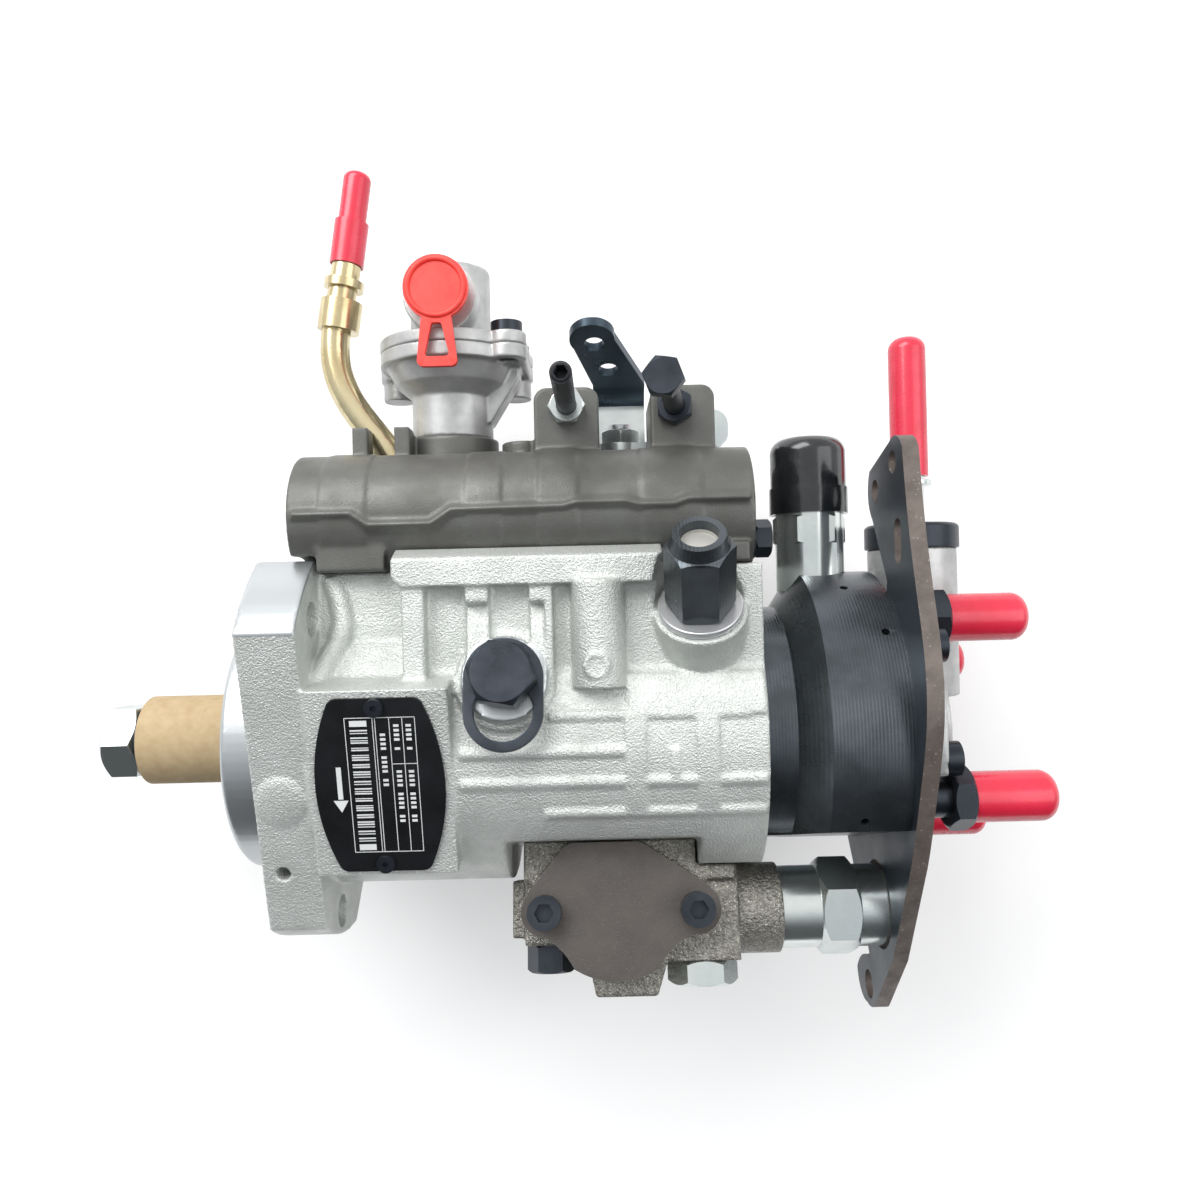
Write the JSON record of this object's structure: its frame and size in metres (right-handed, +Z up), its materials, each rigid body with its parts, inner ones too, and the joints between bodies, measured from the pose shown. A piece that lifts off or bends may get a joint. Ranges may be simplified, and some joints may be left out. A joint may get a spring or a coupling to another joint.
{
  "type": "diesel injection pump",
  "caption": "Flange-mounted rotary diesel injection pump with hydraulic head, capped outlets, throttle lever, boost capsule, stop solenoid and advance unit",
  "frame": {"origin": "shaft axis at the mounting face of the flange", "axes": "+X along the shaft towards the hydraulic head, +Y towards the control cover, +Z up with the pump lying on its back"},
  "size_m": [0.2924, 0.2789, 0.1345],
  "materials": {
    "cast_aluminium": "sand cast, light grey, fine grain",
    "machined_aluminium": "turned bright",
    "cover_coating": "dark grey-brown coated casting, satin",
    "black_steel": "black phosphated and oiled steel",
    "black_head": "blackened turned steel",
    "plate_steel": "black coated plate with brown-grey cut edges",
    "dark_iron": "rough casting, sparkling dark grey",
    "cover_plate_steel": "brown-grey coated plate",
    "zinc": "bright zinc plated",
    "yellow_zinc": "yellow zinc plated steel",
    "bare_steel": "ground steel",
    "bronze": "bearing bronze",
    "red_cap": "soft glossy red vinyl",
    "orange_plug": "matt red-orange moulding",
    "black_rubber": "glossy moulded cap",
    "seal_rubber": "moulded lip seal",
    "kraft_paper": "rolled kraft paper",
    "plate_black": "black nameplate, plain ruled boxes only",
    "diaphragm_rubber": "fabric-backed disc on a steel rod"
  },
  "bodies": {
    "housing": {"pump_housing": "cast_aluminium", "nameplate": "plate_black", "nameplate_rivets": "black_steel", "front_oil_seal": "seal_rubber", "drive_shaft_bush": "bronze", "hydraulic_head": "black_head", "outlet_unions": "black_steel", "outlet_caps": "red_cap", "delivery_valves": "bare_steel", "support_plate": "plate_steel", "cap_screws": "black_steel", "end_plate": "cast_aluminium", "inlet_ring": "black_steel", "inlet_stub": "zinc", "inlet_cap": "red_cap", "control_cover": "cover_coating", "cover_end_plug": "black_steel", "idle_stop_screw": "black_steel", "max_stop_screw": "black_steel", "stop_screw_locknuts": "zinc", "boost_lower_housing": "machined_aluminium", "boost_upper_cover": "cast_aluminium", "boost_spring": "bare_steel", "boost_port_plug": "orange_plug", "return_tube": "yellow_zinc", "return_tube_cap": "red_cap", "stop_solenoid": "zinc", "solenoid_cap": "black_rubber", "advance_housing": "dark_iron", "advance_cover": "cover_plate_steel", "advance_spring": "bare_steel", "advance_nut": "black_steel", "head_locating_bolt": "zinc", "cold_advance_solenoid": "zinc", "tamper_sleeve": "black_steel", "tamper_plug": "bare_steel", "tamper_washer": "machined_aluminium"},
    "shaft": {"drive_shaft": "bare_steel", "shaft_nut": "zinc", "shaft_washers": "black_steel", "shaft_guard_tube": "kraft_paper", "governor_weights": "bare_steel", "distributor_rotor": "bare_steel", "cam_rollers": "bare_steel", "roller_shoes": "bare_steel", "pump_plungers": "bare_steel", "transfer_pump_rotor": "bare_steel", "transfer_pump_blades": "bare_steel"},
    "governor_sleeve": {"governor_sleeve": "bare_steel"},
    "governor_arm": {"governor_arm": "bare_steel"},
    "metering_valve": {"metering_valve": "bare_steel"},
    "cam_ring": {"cam_ring": "bare_steel"},
    "advance_piston": {"advance_piston": "bare_steel"},
    "throttle_lever": {"throttle_lever": "zinc", "throttle_nut": "zinc", "throttle_shaft": "bare_steel"},
    "stop_plunger": {"stop_plunger": "bare_steel"},
    "boost_diaphragm": {"boost_diaphragm": "diaphragm_rubber"},
    "locking_screw": {"shaft_locking_screw": "black_steel"},
    "locking_spacer": {"locking_spacer": "black_steel"}
  },
  "joints": [
    {"name": "drive_shaft_spin", "type": "hinge", "parent": "housing", "child": "shaft", "pos_m": [0, 0, 0], "axis": [1, 0, 0], "continuous": true},
    {"name": "governor_sleeve_slide", "type": "slide", "parent": "shaft", "child": "governor_sleeve", "axis": [1, 0, 0], "range_m": [0, 0.004], "stiffness_N_per_m": 400, "springref_m": -0.004},
    {"name": "governor_arm_turn", "type": "hinge", "parent": "housing", "child": "governor_arm", "pos_m": [0.0627, 0.063, 0], "axis": [0, 0, 1], "range_deg": [0, 3.82]},
    {"name": "metering_valve_turn", "type": "hinge", "parent": "housing", "child": "metering_valve", "pos_m": [0.136, 0.037, 0], "axis": [0, 1, 0], "range_deg": [0, 20]},
    {"name": "advance_piston_slide", "type": "slide", "parent": "housing", "child": "advance_piston", "axis": [0, -0.2588, -0.9659], "range_m": [0, 0.009], "stiffness_N_per_m": 900, "springref_m": -0.012, "deforming": ["advance_spring"]},
    {"name": "cam_ring_turn", "type": "hinge", "parent": "housing", "child": "cam_ring", "pos_m": [0.111, 0, 0], "axis": [1, 0, 0], "range_deg": [0, 8.98]},
    {"name": "throttle_lever_turn", "type": "hinge", "parent": "housing", "child": "throttle_lever", "pos_m": [0.1085, 0.0945, -0.02], "axis": [0, 1, 0], "range_deg": [0, 28], "stiffness_Nm_per_rad": 0.5, "springref_deg": -20.05},
    {"name": "stop_plunger_slide", "type": "slide", "parent": "housing", "child": "stop_plunger", "axis": [0, 1, 0], "range_m": [0, 0.0015], "stiffness_N_per_m": 800, "springref_m": -0.003},
    {"name": "boost_diaphragm_slide", "type": "slide", "parent": "housing", "child": "boost_diaphragm", "axis": [0, -1, 0], "range_m": [0, 0.004], "stiffness_N_per_m": 900, "springref_m": -0.004, "deforming": ["boost_spring"]},
    {"name": "locking_screw_slide", "type": "slide", "parent": "housing", "child": "locking_screw", "axis": [0, 0.2588, 0.9659], "range_m": [0, 0.003]},
    {"name": "locking_spacer_slide", "type": "slide", "parent": "housing", "child": "locking_spacer", "axis": [0, 0.9659, -0.2588], "range_m": [0, 0.0096]}
  ],
  "couplings": [
    {"joint": "metering_valve_turn", "follows": "governor_sleeve_slide", "rad_per_m": 80},
    {"joint": "governor_arm_turn", "follows": "governor_sleeve_slide", "rad_per_m": 16.667},
    {"joint": "cam_ring_turn", "follows": "advance_piston_slide", "rad_per_m": 17.422}
  ]
}
